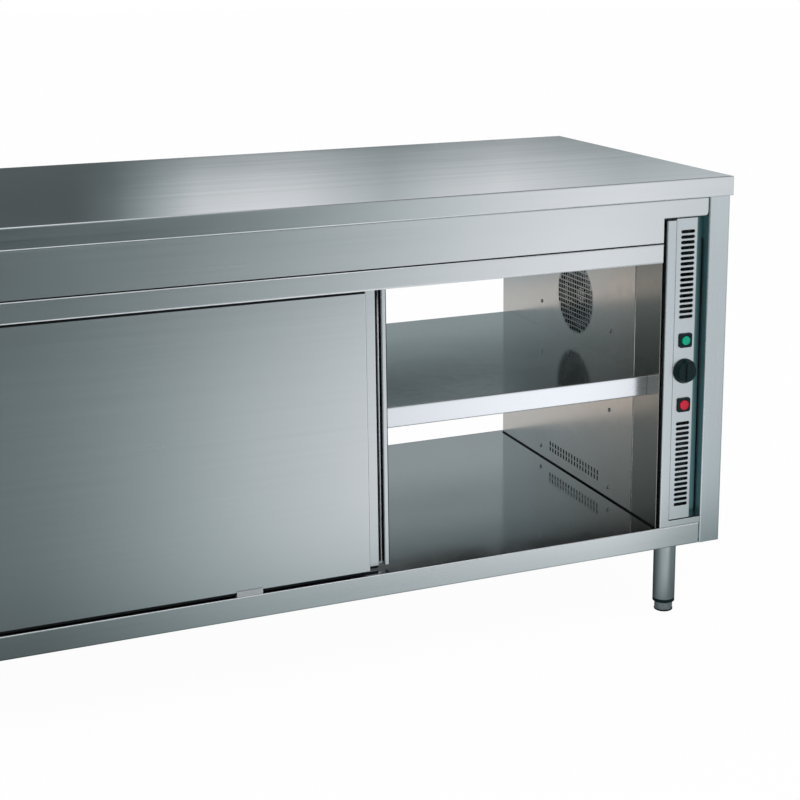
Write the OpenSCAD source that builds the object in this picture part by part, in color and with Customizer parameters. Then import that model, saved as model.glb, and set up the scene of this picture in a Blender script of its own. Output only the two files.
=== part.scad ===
// Heated pass-through plate cabinet with four sliding doors and a control bay at its right end.
// Origin on the floor under the middle of the cabinet, +X to the right, +Y to the back, +Z up.

/* [Overall] */
// Length of the worktop
overall_l = 1800; // [1500:10:2400]
// Depth of the worktop
overall_d = 700; // [600:10:800]
// Height of the worktop above the floor
overall_h = 858; // [800:1:950]
// Height of the body's underside above the floor
leg_h = 150; // [120:5:200]

/* [Sheet metal] */
// Thickness of the outer sheet
sheet = 1.5; // [1.2:0.1:1.8]
// Thickness of the door and liner sheet
liner = 1.2; // [1:0.1:1.4]
// Outer radius of a fold
bend_r = 2.5; // [2.2:0.1:3]
// Gap between two pieces that are seated on each other
seam = 0.3; // [0.2:0.05:0.4]

/* [Worktop] */
// Height of the worktop's folded edge
worktop_h = 36; // [30:1:50]
// How far the worktop stands past the side panels
overhang_end = 5; // [2:0.5:15]
// How far the worktop stands past the front and the back
overhang_front = 2; // [1:0.5:10]
// Width of the lip folded inwards under the edge
worktop_lip = 18; // [12:1:30]
// Width of a worktop stiffener
stiffener_w = 60; // [40:2:80]
// Depth of a worktop stiffener
stiffener_h = 28; // [20:1:29]
// Distance of each stiffener from the middle
stiffener_y = 150; // [100:5:200]

/* [Frame] */
// Height of the fascia under the worktop
fascia_h = 80; // [70:1:100]
// Height of the fascia over the control bay
fascia_tab_h = 35; // [28:1:50]
// Radius of the fascia's lower corner over the control bay
fascia_corner_r = 8; // [4:1:14]
// Height of the rail over the doors
top_rail_h = 36; // [30:1:50]
// Height of the rail under the doors
bottom_rail_h = 42; // [34:1:50]
// Dark line left between the fascia and the rail
shadow_gap = 2.5; // [1:0.5:4]
// Depth of the fold behind the fascia and the bottom rail
rail_return = 14; // [8:1:20]
// Depth of the fold under the top rail
top_rail_return = 6; // [4:0.5:6]
// Width of a corner post
post_w = 44; // [36:1:60]
// Depth of the fold behind a corner post
post_return = 20; // [14:1:28]
// Dark line left between a rail and a corner post
post_gap = 2.5; // [1:0.5:4]

/* [Control bay] */
// Width of the recess beside the right post
recess_w = 23; // [16:1:32]
// Depth of that recess
recess_d = 19.5; // [14:0.5:26]
// Width of the control plate
plate_w = 45.5; // [42:0.5:60]
// Width of the strip between the doors and the control plate
strip_w = 20; // [14:1:30]
// Depth of the fold behind the strip
strip_return = 30; // [20:1:40]
// Width of the dark channel between the cavity and the strip
channel_w = 6.7; // [5:0.1:9]
// Height of the slot over the strip
plate_slot = 4; // [2:0.5:6]
// Height of the apron under the control plate and the recess
apron_h = 12; // [8:0.5:16]
// Dark line left between the apron and the control plate
apron_gap = 1.5; // [1:0.25:3]

/* [Vents] */
// Number of slots in a group of vents
vent_n = 17; // [8:1:17]
// Distance from one vent slot to the next
vent_pitch = 10; // [9:0.25:10]
// Length of a vent slot
vent_l = 29; // [20:1:32]
// Height of a vent slot
vent_h = 6.2; // [3:0.1:6.5]
// Top vent slot below the top of the control plate
vent_top = 25; // [20:1:40]
// Lowest vent slot above the bottom of the control plate
vent_bottom = 29.5; // [25:0.5:40]

/* [Switch, thermostat and lamp] */
// Height of the knob above the cavity floor
knob_h = 305; // [295:1:315]
// Distance from the knob up to the switch
switch_rise = 59; // [50:1:75]
// Distance from the knob down to the lamp
lamp_drop = 65.5; // [55:0.5:75]
// Side of the square bezel of the switch and of the lamp
bezel_w = 27; // [25:0.5:30]
// How far a bezel stands out of the plate
bezel_t = 3; // [2:0.5:4]
// Corner radius of a bezel
bezel_r = 4; // [2:0.5:6]
// Side of the square socket behind a bezel
socket_w = 23; // [21:0.5:24]
// Depth of the socket behind the plate
socket_d = 24; // [15:1:30]
// Radius of the green button
button_r = 8.3; // [7:0.1:9]
// Radius of the red lens
lens_r = 9.2; // [7:0.1:9.8]
// How far the button and the lens stand out of their bezels
lens_proud = 3.2; // [2.8:0.1:4]
// Travel of the green button
button_travel = 2.5; // [1.5:0.1:2.5]
// Radius of the knob's skirt
knob_r = 23.5; // [18:0.5:26]
// Height of the knob without its grip
knob_t = 13.5; // [10:0.5:18]
// Height of the grip across the knob
grip_t = 3.5; // [2:0.5:6]
// Width of the grip across the knob
grip_w = 7; // [5:0.5:10]
// Radius of the thermostat's spindle
spindle_r = 3; // [2.5:0.1:4]
// Radial clearance of a spindle or pin in its bore
run_clear = 0.05; // [0.03:0.01:0.09]

/* [Doors] */
// Thickness of a door
door_t = 15; // [14:0.5:18]
// How far the outer doors lie behind the rails
door_setback = 3; // [2.5:0.5:5]
// Gap between the outer and the inner door
door_gap = 5; // [4:0.5:8]
// Gap between a door and the top rail
door_top_gap = 3; // [2.9:0.1:5]
// Gap between a door and the bottom rail
door_bottom_gap = 8; // [7:0.5:12]
// Gap between a closed door and the end of the cavity
door_end_gap = 2; // [1:0.5:4]
// Overlap of two closed doors
door_overlap = 52; // [46:1:70]
// How far the left doors are pushed open
left_open = 199; // [0:1:700]
// How far the right doors are pushed open
right_open = 529; // [0:1:700]
// Width of the finger groove of a door
groove_w = 9.4; // [9:0.2:14]
// Depth of the finger groove
groove_d = 8; // [6:0.5:9]
// Width of the grip lip beside the groove
lip_w = 9; // [5:0.5:10]
// How far the grip lip stands out of the door
lip_proud = 2.5; // [1:0.25:2.5]
// Width of the rubber seal on the closing edge
seal_w = 3; // [2:0.5:4]

/* [Door track] */
// Running radius of a door roller
roller_r = 10.5; // [9:0.5:11]
// Depth of the groove in a roller
roller_groove = 1.5; // [1:0.1:1.6]
// Width of a roller
roller_w = 6; // [5:0.5:6.5]
// Radius of the bead that the rollers run on
bead_r = 1.5; // [1:0.1:1.6]
// Thickness of the track profile
track_t = 1.7; // [1.4:0.1:1.8]
// Height of the track's running lip above the top rail's lower edge
track_lift = 14; // [12:0.5:16]
// Thickness of a hanger plate
hanger_t = 3; // [2:0.5:3.5]
// Width of a hanger
hanger_w = 56; // [40:2:80]
// Distance of a hanger from the edge of its door
hanger_inset = 110; // [80:5:160]
// Radius of a hanger's pin
pin_r = 3; // [2.5:0.1:4]
// Width of the bottom guides
guide_w = 46; // [36:1:60]
// Height of the guide's front tab above the bottom rail
guide_tab = 10.5; // [9.5:0.5:14]
// Height of the guide blades above the bottom rail
guide_blade = 20; // [16:1:22]
// Thickness of a guide blade
blade_t = 2.4; // [2:0.1:3]
// Length of a guide blade
blade_l = 20; // [14:1:22]
// Width of the slot that takes the blade
slot_w = 4; // [3.6:0.1:4.5]
// Depth of the slot that takes the blade
slot_d = 14; // [12:0.5:16]

/* [Cavity] */
// Height of the shelf's top above the cavity floor
shelf_z = 290; // [200:1:340]
// Height of the shelf's folded edge
shelf_h = 38; // [30:1:44]
// Distance from the shelf's edge to the inner doors
shelf_gap = 8; // [5:0.5:20]
// Width of a shelf support
support_w = 30; // [20:1:40]
// Depth of a shelf support
support_h = 28; // [20:1:29]
// Distance from the front to the seam between the two liners
liner_front = 97; // [80:1:120]
// Distance from the main liner to the back
liner_back = 14; // [14:1:40]
// Width of the seam between the two liners
liner_seam_w = 2; // [1:0.5:4]

/* [Fan] */
// Distance of the fan from the middle of the depth
fan_y = -9; // [-60:1:60]
// Height of the fan above the cavity floor
fan_h = 385; // [377:1:387]
// Distance from one grille hole to the next
grille_pitch = 9.8; // [9:0.1:12]
// Side of a square grille hole
grille_hole = 7.3; // [5:0.1:7.6]
// Radius that the centres of the grille holes keep inside
grille_r = 72; // [60:1:74]
// Number of return slots in a row
return_n = 18; // [10:1:20]
// Distance from one return slot to the next
return_pitch = 12.4; // [11:0.1:14]
// Width of a return slot
return_w = 5.2; // [3:0.1:6]
// Height of a return slot
return_h = 9.5; // [6:0.5:10]
// Distance from one row of return slots to the next
return_row = 12; // [11.5:0.5:14]
// Height of the lower row of return slots above the cavity floor
return_z = 29; // [20:1:40]
// Radius of the fan's impeller
fan_r = 64; // [50:1:68]
// Number of impeller blades
fan_blades = 12; // [8:1:14]
// Width of the impeller
fan_w = 22; // [16:1:26]
// Radius of the fan's shaft
shaft_r = 3; // [2.5:0.1:4]
// Radius of the fan's motor
motor_r = 36; // [28:1:40]
// Length of the fan's motor
motor_l = 46; // [36:1:50]
// Radius of the heater's ring
heater_r = 86; // [80:1:92]
// Radius of the heater's tube
heater_tube_r = 4; // [3:0.5:5]
// Half the width of the fan's bracket
bracket_w = 120; // [110:1:130]

/* [Screws] */
// Distance of the wall screws' columns from the middle of the liner
screw_y = 150; // [140:1:160]
// Height of the lowest wall screws above the cavity floor
screw_z = 24; // [18:1:30]
// Distance from one wall screw to the one above
screw_pitch = 160.5; // [150:0.5:165]
// Radius of a wall screw's head
screw_head_r = 4; // [3:0.1:5]
// Radius of a wall screw's shank
screw_r = 2; // [1.5:0.1:2.5]

/* [Legs] */
// Radius of a leg's tube
leg_r = 21.5; // [20:0.5:30]
// Wall of a leg's tube
leg_wall = 1.5; // [1.2:0.1:2]
// Distance of a leg from the side of the body
leg_inset_x = 86; // [70:1:100]
// Distance of a leg from the front or back of the body
leg_inset_y = 56; // [55:1:80]
// Side of the plate that carries a leg
leg_plate = 80; // [70:2:90]
// Thickness of that plate
leg_plate_t = 3; // [2:0.5:5]
// Height of the leg's tube above the floor
tube_z = 25.5; // [20:0.5:35]
// Height of the insert's rim under the tube
rim_h = 6.5; // [4:0.5:8]
// Radius of a levelling foot
foot_r = 17.5; // [16:0.5:20]
// Radius of the foot's stud
stud_r = 5; // [4:0.5:6]
// How far a levelling foot can be screwed out
foot_travel = 25; // [10:1:28]

/* [Supply] */
// Distance of the cable gland from the right end of the service panel
gland_x = 43; // [30:1:55]
// Height of the cable gland above the cavity floor
gland_z = 16.5; // [15:0.5:19]
// Radius of the gland's thread
gland_r = 10; // [8:0.5:11]
// Radius of the cable entry
entry_r = 4.5; // [3:0.5:6]

/* [Hidden] */

// Smoothness of round parts
$fn = 48;
// Steps in the curve of a fold
fold_steps = 3;
// Room for a cut to run past a face
past = 1;

// Body
body_x = overall_l / 2 - overhang_end;
front_y = -overall_d / 2 + overhang_front;
back_y = -front_y;
under_worktop = overall_h - worktop_h;
body_top = under_worktop - seam;
floor_z = leg_h + bottom_rail_h;
fascia_z = under_worktop - fascia_h;
rail_z = fascia_z - top_rail_h;
post_x = body_x - post_w;
rail_x = post_x - post_gap;
inner_side_x = body_x - sheet;

// Control bay, from the right post to the cavity
plate_x1 = post_x - recess_w;
plate_x0 = plate_x1 - plate_w;
strip_x0 = plate_x0 - strip_w;
channel_x = strip_x0 - channel_w;
cavity_x1 = channel_x - liner;
tab_z = under_worktop - fascia_tab_h;
strip_top = tab_z - plate_slot;
plate_top = tab_z - 1;
apron_z = floor_z + apron_h;
plate_bottom = apron_z + apron_gap;
plate_joint = 0.4;
recess_y = front_y + recess_d;
plate_back = front_y + sheet;
control_x = (plate_x0 + plate_x1) / 2 + 1.5;
switch_h = knob_h + switch_rise;
lamp_h = knob_h - lamp_drop;

// Cavity
cavity_x0 = -post_x + seam + sheet + liner;
wall_z0 = floor_z + seam;
ceiling_rise = 50;
ceiling_z = rail_z + ceiling_rise;
wall_top = ceiling_z - seam;
fan_z = floor_z + fan_h;
liner_mid_y = -8;
shelf_top = floor_z + shelf_z;
liner_seam_y = front_y + liner_front;
liner_back_y = back_y - liner_back;

// Doors
door_z0 = floor_z + door_bottom_gap;
door_z1 = rail_z - door_top_gap;
outer_y = front_y + door_setback;
inner_y = outer_y + door_t + door_gap;
door_w = (cavity_x1 - cavity_x0 - 2 * door_end_gap + door_overlap) / 2;
left_x = cavity_x0 + door_end_gap + left_open;
right_x = cavity_x1 - door_end_gap - door_w - right_open;
shelf_y = -(inner_y + door_t + shelf_gap);

// Track and hangers, measured from a door's face
hanger_y = 9.5;
roller_y1 = hanger_y - 0.8;
roller_y0 = roller_y1 - roller_w;
pin_end = roller_y0 - 1.3;
web_y1 = 0.5;
web_y0 = web_y1 - track_t;
running_lip_y1 = hanger_y - 0.6;
lip_z0 = rail_z + track_lift;
lip_z1 = lip_z0 + 2;
roller_z = lip_z1 + bead_r + seam + roller_r;
bead_y = (roller_y0 + roller_y1) / 2;
hanger_top = roller_z + 9;
blade_y = door_t / 2 - blade_t / 2;
slot_y0 = door_t / 2 - slot_w / 2;
slot_y1 = door_t / 2 + slot_w / 2;
guide_t = 1.5;
guide_x = (cavity_x0 + cavity_x1) / 2 + 3.9;

// Fan, from the liner to the motor
impeller_x0 = channel_x + 6;
impeller_x1 = impeller_x0 + fan_w;
bracket_x = impeller_x1 + 8;
motor_x = bracket_x + sheet + seam;
heater_x = impeller_x0 + 12;

// Legs
leg_x = body_x - leg_inset_x;
leg_y = back_y - leg_inset_y;
leg_top = floor_z - sheet - seam;
tube_top = leg_top - leg_plate_t;
insert_l = 28;
insert_z1 = tube_z + insert_l;
foot_top = tube_z - rim_h - seam;
stud_top = insert_z1 + foot_travel;

steel = [0.76, 0.77, 0.78];
dark_steel = [0.55, 0.56, 0.57];
black = [0.08, 0.08, 0.09];
zinc = [0.66, 0.67, 0.69];

// --- Sheet metal sections -------------------------------------------------

function toward(p, q) = (q - p) / norm(q - p);
function left_of(d) = [-d[1], d[0]];
function turned(v, a) = [v[0] * cos(a) - v[1] * sin(a), v[0] * sin(a) + v[1] * cos(a)];

// One corner of a path, rounded to radius r
function corner(path, i, r) =
    let (a = toward(path[i - 1], path[i]),
         b = toward(path[i], path[i + 1]),
         side = sign(a[0] * b[1] - a[1] * b[0]),
         angle = acos(a * b),
         start = path[i] - a * r * tan(angle / 2),
         centre = start + left_of(a) * side * r)
    r == 0 ? [path[i]] :
    [for (k = [0 : fold_steps]) centre - turned(left_of(a), side * angle * k / fold_steps) * side * r];

// A path with its inner corners rounded; radii gives one radius for each of them
function folded(path, radii) = concat([path[0]],
    [for (i = [1 : len(path) - 2]) each corner(path, i, radii[i - 1])],
    [path[len(path) - 1]]);

function same_radius(path, r) = [for (i = [1 : len(path) - 2]) r];

// Point i of a path moved to the left of the path by t
function moved(path, i, t) =
    let (last = len(path) - 1,
         a = toward(path[max(i - 1, 0)], path[max(i, 1)]),
         b = toward(path[min(i, last - 1)], path[min(i + 1, last)]))
    path[i] + (left_of(a) + left_of(b)) * t / (1 + left_of(a) * left_of(b));

// Section of a sheet of thickness t that follows a path, on its left, or on its right if t < 0
module section(path, t) {
    polygon(concat(path, [for (i = [len(path) - 1 : -1 : 0]) moved(path, i, t)]));
}

module folded_section(path, t, r = bend_r) {
    section(folded(path, same_radius(path, r)), t);
}

// --- Placing sections and round bars --------------------------------------

// Extrudes a section drawn in (y, z) from x0 to x1
module along_x(x0, x1) {
    translate([x0, 0, 0]) rotate([90, 0, 90]) linear_extrude(x1 - x0) children();
}

// Extrudes a section drawn in (x, z) from y0 to y1
module along_y(y0, y1) {
    translate([0, y1, 0]) rotate([90, 0, 0]) linear_extrude(y1 - y0) children();
}

// Extrudes a section drawn in (x, y) from z0 to z1
module along_z(z0, z1) {
    translate([0, 0, z0]) linear_extrude(z1 - z0) children();
}

module box(low, high) {
    translate(low) cube(high - low);
}

module bar_x(r, x0, x1, y, z) {
    translate([x0, y, z]) rotate([0, 90, 0]) cylinder(r = r, h = x1 - x0);
}

module bar_y(r, y0, y1, x, z) {
    translate([x, y1, z]) rotate([90, 0, 0]) cylinder(r = r, h = y1 - y0);
}

module bar_z(r, z0, z1, x, y) {
    translate([x, y, z0]) cylinder(r = r, h = z1 - z0);
}

// Turns a profile drawn in (radius, height) about an axis along -Y, from y towards the front
module turned_front(x, y, z) {
    translate([x, y, z]) rotate([90, 0, 0]) rotate_extrude() children();
}

// Repeats its children at the back, facing backwards
module front_and_rear() {
    children();
    mirror([0, 1, 0]) children();
}

module both_ends() {
    children();
    mirror([1, 0, 0]) children();
}

// --- Worktop --------------------------------------------------------------

// Section of a block w wide and h high with its top corners rounded
function block_section(w, h, r) = folded(
    [[0, 0], [w / 2, 0], [w / 2, h], [-w / 2, h], [-w / 2, 0], [0, 0]], [0, r, r, 0]);

module rounded_block(l, d, h, r) {
    intersection() {
        along_x(-l / 2, l / 2) polygon(block_section(d, h, r));
        along_y(-d / 2, d / 2) polygon(block_section(l, h, r));
    }
}

module worktop() {
    color(steel) translate([0, 0, under_worktop]) difference() {
        rounded_block(overall_l, overall_d, worktop_h, bend_r);
        translate([0, 0, sheet])
            rounded_block(overall_l - 2 * sheet, overall_d - 2 * sheet, worktop_h - 2 * sheet,
                bend_r - sheet);
        box([worktop_lip - overall_l / 2, worktop_lip - overall_d / 2, -past],
            [overall_l / 2 - worktop_lip, overall_d / 2 - worktop_lip, sheet + past]);
    }
}

module stiffener(y) {
    top = overall_h - sheet - seam;
    half = stiffener_w / 2;
    bottom = top - stiffener_h;
    end = overall_l / 2 - sheet - seam;
    along_x(-end, end) translate([y, 0]) folded_section(
        [[-half - 16, top], [-half, top], [-half, bottom], [half, bottom], [half, top],
         [half + 16, top]], -sheet);
}

module worktop_stiffeners() {
    color(dark_steel) for (y = [-stiffener_y, stiffener_y]) stiffener(y);
}

// --- Body -----------------------------------------------------------------

module side_panel() {
    along_z(leg_h, body_top) folded_section(
        [[post_x, front_y + post_return], [post_x, front_y], [body_x, front_y],
         [body_x, back_y], [post_x, back_y], [post_x, back_y - post_return]], sheet);
    for (z = [leg_h, body_top - sheet])
        box([body_x - 30, front_y + post_w, z], [body_x - sheet / 2, back_y - post_w, z + sheet]);
}

module right_side_panel() {
    color(steel) side_panel();
}

module left_side_panel() {
    color(steel) mirror([1, 0, 0]) side_panel();
}

module fascia() {
    top_fold = [[front_y, body_top], [front_y + rail_return, body_top]];
    difference() {
        union() {
            along_x(-rail_x, channel_x)
                folded_section(concat([[front_y, fascia_z + shadow_gap / 2]], top_fold), -sheet);
            along_x(channel_x - sheet, rail_x) folded_section(
                concat([[front_y + rail_return, tab_z], [front_y, tab_z]], top_fold), -sheet);
        }
        translate([rail_x - fascia_corner_r, 0, tab_z + fascia_corner_r])
            along_y(front_y - past, front_y + rail_return + past) difference() {
                translate([0, -fascia_corner_r - past])
                    square([fascia_corner_r + past, fascia_corner_r + past]);
                circle(r = fascia_corner_r);
            }
    }
}

module front_fascia() {
    color(steel) fascia();
}

module rear_fascia() {
    color(steel) mirror([0, 1, 0]) fascia();
}

module top_rails() {
    color(steel) front_and_rear() along_x(-rail_x, channel_x) folded_section(
        [[front_y + top_rail_return, rail_z], [front_y, rail_z],
         [front_y, fascia_z - shadow_gap / 2]], -sheet);
}

module floor_panel() {
    color(steel) {
        along_x(-rail_x, rail_x) folded_section(
            [[front_y + rail_return, leg_h], [front_y, leg_h], [front_y, floor_z],
             [back_y, floor_z], [back_y, leg_h], [back_y - rail_return, leg_h]], -sheet);
        box([seam - inner_side_x, front_y + post_return + seam, floor_z - sheet],
            [inner_side_x - seam, back_y - post_return - seam, floor_z]);
    }
}

// --- Cavity ---------------------------------------------------------------

module cavity_ceiling() {
    color(dark_steel) box([cavity_x0 - liner, front_y + sheet + seam, ceiling_z],
        [channel_x, back_y - sheet - seam, ceiling_z + liner]);
}

module left_inner_wall() {
    color(steel) box([cavity_x0 - liner, outer_y, wall_z0], [cavity_x0, -outer_y, wall_top]);
}

module right_front_liner() {
    color(steel) box([cavity_x1, outer_y, wall_z0],
        [channel_x, liner_seam_y - liner_seam_w / 2, wall_top]);
}

// Heights of the wall screws, from the lowest to the top of the wall
screw_rows = [for (z = [floor_z + screw_z : screw_pitch : rail_z]) z];

// Runs its children at the place of each wall screw
module at_wall_screws() {
    for (z = screw_rows, side = [-1, 1]) translate([0, liner_mid_y + side * screw_y, z]) children();
}

module grille_holes() {
    n = floor(grille_r / grille_pitch);
    for (i = [-n : n], k = [-n : n])
        if (norm([i, k]) * grille_pitch <= grille_r)
            translate([fan_y + i * grille_pitch, fan_z + k * grille_pitch])
                square(grille_hole, center = true);
}

module return_slots() {
    first = fan_y - (return_n - 1) * return_pitch / 2;
    for (i = [0 : return_n - 1], row = [0, 1])
        translate([first + i * return_pitch, floor_z + return_z + row * return_row])
            square([return_w, return_h], center = true);
}

module right_inner_wall() {
    color(steel) difference() {
        box([cavity_x1, liner_seam_y + liner_seam_w / 2, wall_z0],
            [channel_x, liner_back_y, wall_top]);
        along_x(cavity_x1 - past, channel_x + past) {
            grille_holes();
            return_slots();
        }
        at_wall_screws() bar_x(screw_r + 0.1, cavity_x1 - past, channel_x + past, 0, 0);
    }
}

module wall_screw() {
    translate([cavity_x1, 0, 0]) rotate([0, -90, 0]) rotate_extrude() polygon(concat(
        [[0, -8], [screw_r, -8], [screw_r, 0], [screw_head_r, 0], [screw_head_r, 0.8]],
        [for (a = [15 : 15 : 90]) [screw_head_r * cos(a), 0.8 + 1.4 * sin(a)]]));
}

module wall_screws() {
    color(zinc) at_wall_screws() wall_screw();
}

module shelf() {
    inset = 10;
    low = shelf_top - shelf_h;
    color(steel) along_x(cavity_x0 + seam, cavity_x1 - seam) folded_section(
        [[inset - shelf_y, low], [-shelf_y, low], [-shelf_y, shelf_top],
         [shelf_y, shelf_top], [shelf_y, low], [shelf_y - inset, low]], -sheet);
}

// One shelf support against a wall at x, reaching into the cavity by w
module shelf_support(x, w) {
    top = shelf_top - sheet - seam;
    long = shelf_y - 30;
    path = [[x, top - support_h], [x, top], [x + w, top]];
    along_y(-long, long) folded_section(path, w > 0 ? -sheet : sheet);
}

module shelf_supports() {
    color(dark_steel) {
        shelf_support(cavity_x0 + seam, support_w);
        shelf_support(cavity_x1 - seam, -support_w);
    }
}

// --- Door track and guides ------------------------------------------------

// Web, running lip and bead for a door whose face is at y
module track_rail(y) {
    translate([y, 0]) {
        translate([web_y0, lip_z0]) square([track_t, wall_top - lip_z0]);
        translate([web_y0, lip_z0]) square([running_lip_y1 - web_y0, lip_z1 - lip_z0]);
        translate([bead_y, lip_z1]) circle(r = bead_r);
    }
}

module door_tracks() {
    color(zinc) front_and_rear() along_x(cavity_x0 + seam, cavity_x1 - seam) {
        track_rail(outer_y);
        track_rail(inner_y);
        translate([outer_y + web_y0, wall_top - 2])
            square([inner_y - outer_y + running_lip_y1 - web_y0, 2]);
    }
}

// Blade for the slot of a door whose face is at y, centred on x
module guide_blade_at(x, y) {
    box([x - blade_l / 2, y + blade_y, floor_z + seam],
        [x + blade_l / 2, y + blade_y + blade_t, floor_z + guide_blade]);
}

module bottom_guide() {
    base = floor_z + seam;
    tab_y = outer_y - guide_t - 0.5;
    x0 = guide_x - guide_w / 2;
    x1 = guide_x + guide_w / 2;
    middle = (cavity_x0 + cavity_x1) / 2;
    box([x0, tab_y, base], [x1, inner_y + door_t - 4, base + guide_t]);
    box([x0, tab_y, base], [x1, tab_y + guide_t, floor_z + guide_tab]);
    guide_blade_at(middle + blade_l / 2 - 1, outer_y);
    guide_blade_at(middle - blade_l / 2 + 1, inner_y);
}

module bottom_guides() {
    color(zinc) front_and_rear() bottom_guide();
}

// --- Doors ----------------------------------------------------------------

// The fold of a door from its plain edge to its closing edge, drawn in (x, y) from its face
function door_path() =
    let (lip_x1 = door_w - seal_w,
         lip_x0 = lip_x1 - lip_w,
         groove_x0 = lip_x0 - groove_w)
    [[0, door_t], [0, 0], [groove_x0, 0], [groove_x0, groove_d], [lip_x0, groove_d],
     [lip_x0, -lip_proud], [lip_x1, -lip_proud], [lip_x1, door_t]];

back_x1 = door_w - seal_w - lip_w - groove_w - liner - seam;

// Places a door drawn with its closing edge on the right; a left door is turned round
module place_door(left) {
    if (left)
        translate([left_x + door_w, outer_y, 0]) mirror([1, 0, 0]) children();
    else
        translate([right_x, inner_y, 0]) children();
}

// The grip lip of an outer door ends a little above the guide's tab; an inner door has its full lip
module door_skin(outer) {
    lip_x1 = door_w - seal_w;
    difference() {
        along_z(door_z0, door_z1) folded_section(door_path(), liner, 2);
        if (outer) box([lip_x1 - lip_w - past, -lip_proud - past, door_z0 - past],
            [lip_x1 + past, -0.2, floor_z + guide_tab + 1]);
    }
    box([liner / 2, liner / 2, door_z1 - liner], [back_x1 + liner, door_t - liner - seam, door_z1]);
}

module door_back() {
    top = door_z1 - liner - seam;
    along_x(liner + seam, back_x1) section(
        [[liner + seam, door_z0], [slot_y0, door_z0], [slot_y0, door_z0 + slot_d],
         [slot_y1, door_z0 + slot_d], [slot_y1, door_z0], [door_t, door_z0], [door_t, top]], liner);
    box([back_x1 - liner, door_t - liner, door_z0 + slot_d],
        [door_w - seal_w - liner - seam, door_t, top]);
}

// Positions of the two hangers from the door's plain edge
function hanger_at(k) = k == 0 ? hanger_inset : door_w - hanger_inset;

module door_hanger(x) {
    foot_z = door_z1 + seam;
    neck = hanger_w / 4;
    along_y(hanger_y, hanger_y + hanger_t) polygon(
        [[x - hanger_w / 2, foot_z], [x + hanger_w / 2, foot_z], [x + neck, roller_z],
         [x + neck / 2, hanger_top], [x - neck / 2, hanger_top], [x - neck, roller_z]]);
    box([x - hanger_w / 2, top_rail_return - door_setback + 0.5, foot_z],
        [x + hanger_w / 2, hanger_y + hanger_t, foot_z + 2]);
    bar_y(pin_r, pin_end, hanger_y + 1, x, roller_z);
    bar_y(pin_r + 1.5, pin_end, roller_y0 - seam, x, roller_z);
    bar_y(pin_r + 1.5, roller_y1 + seam, hanger_y + 1, x, roller_z);
}

module door_hangers() {
    for (k = [0, 1]) door_hanger(hanger_at(k));
}

module door_roller(k) {
    rim = roller_r + roller_groove;
    flat = (roller_w - 2 * bead_r - 2 * seam) / 2;
    translate([hanger_at(k), roller_y1, roller_z]) rotate([90, 0, 0]) rotate_extrude() polygon(
        [[pin_r + run_clear, 0], [rim, 0], [rim, flat], [roller_r, flat + 0.6],
         [roller_r, roller_w - flat - 0.6], [rim, roller_w - flat], [rim, roller_w],
         [pin_r + run_clear, roller_w]]);
}

module front_left_door_skin() { color(steel) place_door(true) door_skin(true); }
module front_left_door_back() { color(dark_steel) place_door(true) door_back(); }
module front_left_hangers() { color(zinc) place_door(true) door_hangers(); }
module front_left_roller_a() { color(black) place_door(true) door_roller(0); }
module front_left_roller_b() { color(black) place_door(true) door_roller(1); }
module front_right_door_skin() { color(steel) place_door(false) door_skin(false); }
module front_right_door_back() { color(dark_steel) place_door(false) door_back(); }
module front_right_hangers() { color(zinc) place_door(false) door_hangers(); }
module front_right_roller_a() { color(black) place_door(false) door_roller(0); }
module front_right_roller_b() { color(black) place_door(false) door_roller(1); }
module rear_left_door_skin() { mirror([0, 1, 0]) front_left_door_skin(); }
module rear_left_door_back() { mirror([0, 1, 0]) front_left_door_back(); }
module rear_left_hangers() { mirror([0, 1, 0]) front_left_hangers(); }
module rear_left_roller_a() { mirror([0, 1, 0]) front_left_roller_a(); }
module rear_left_roller_b() { mirror([0, 1, 0]) front_left_roller_b(); }
module rear_right_door_skin() { mirror([0, 1, 0]) front_right_door_skin(); }
module rear_right_door_back() { mirror([0, 1, 0]) front_right_door_back(); }
module rear_right_hangers() { mirror([0, 1, 0]) front_right_hangers(); }
module rear_right_roller_a() { mirror([0, 1, 0]) front_right_roller_a(); }
module rear_right_roller_b() { mirror([0, 1, 0]) front_right_roller_b(); }

// --- Control bay ----------------------------------------------------------

module control_frame() {
    ledge = 5;
    behind = plate_back + seam;
    path = [[strip_x0, front_y + strip_return], [strip_x0, front_y],
        [plate_x0 - plate_joint, front_y], [plate_x0 - plate_joint, behind],
        [plate_x1 - sheet - seam, behind], [plate_x1 - sheet - seam, recess_y],
        [post_x - seam, recess_y]];
    apron_x0 = strip_x0 + 2 * bend_r;
    color(steel) difference() {
        union() {
            along_z(wall_z0, strip_top) section(folded(path, [bend_r, 0, 0, 0, 0]), sheet);
            box([apron_x0, front_y, wall_z0], [post_x - seam, plate_back, apron_z]);
            box([plate_x0 - plate_joint, front_y, apron_z - sheet],
                [post_x - seam, recess_y + sheet, apron_z]);
        }
        box([plate_x0 + ledge, front_y, plate_bottom + ledge],
            [plate_x1 - ledge - sheet, behind + 2 * sheet, plate_top - 3 * ledge]);
    }
}

// One vent slot with round ends, centred on the origin
module vent_slot() {
    square([vent_l - vent_h, vent_h], center = true);
    for (side = [-1, 1]) translate([side * (vent_l - vent_h) / 2, 0]) circle(r = vent_h / 2, $fn = 24);
}

// The upper and the lower group of vents of a panel, centred on x
module vents(x) {
    for (i = [0 : vent_n - 1]) {
        translate([x, plate_top - vent_top - i * vent_pitch]) vent_slot();
        translate([x, plate_bottom + vent_bottom + i * vent_pitch]) vent_slot();
    }
}

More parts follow.
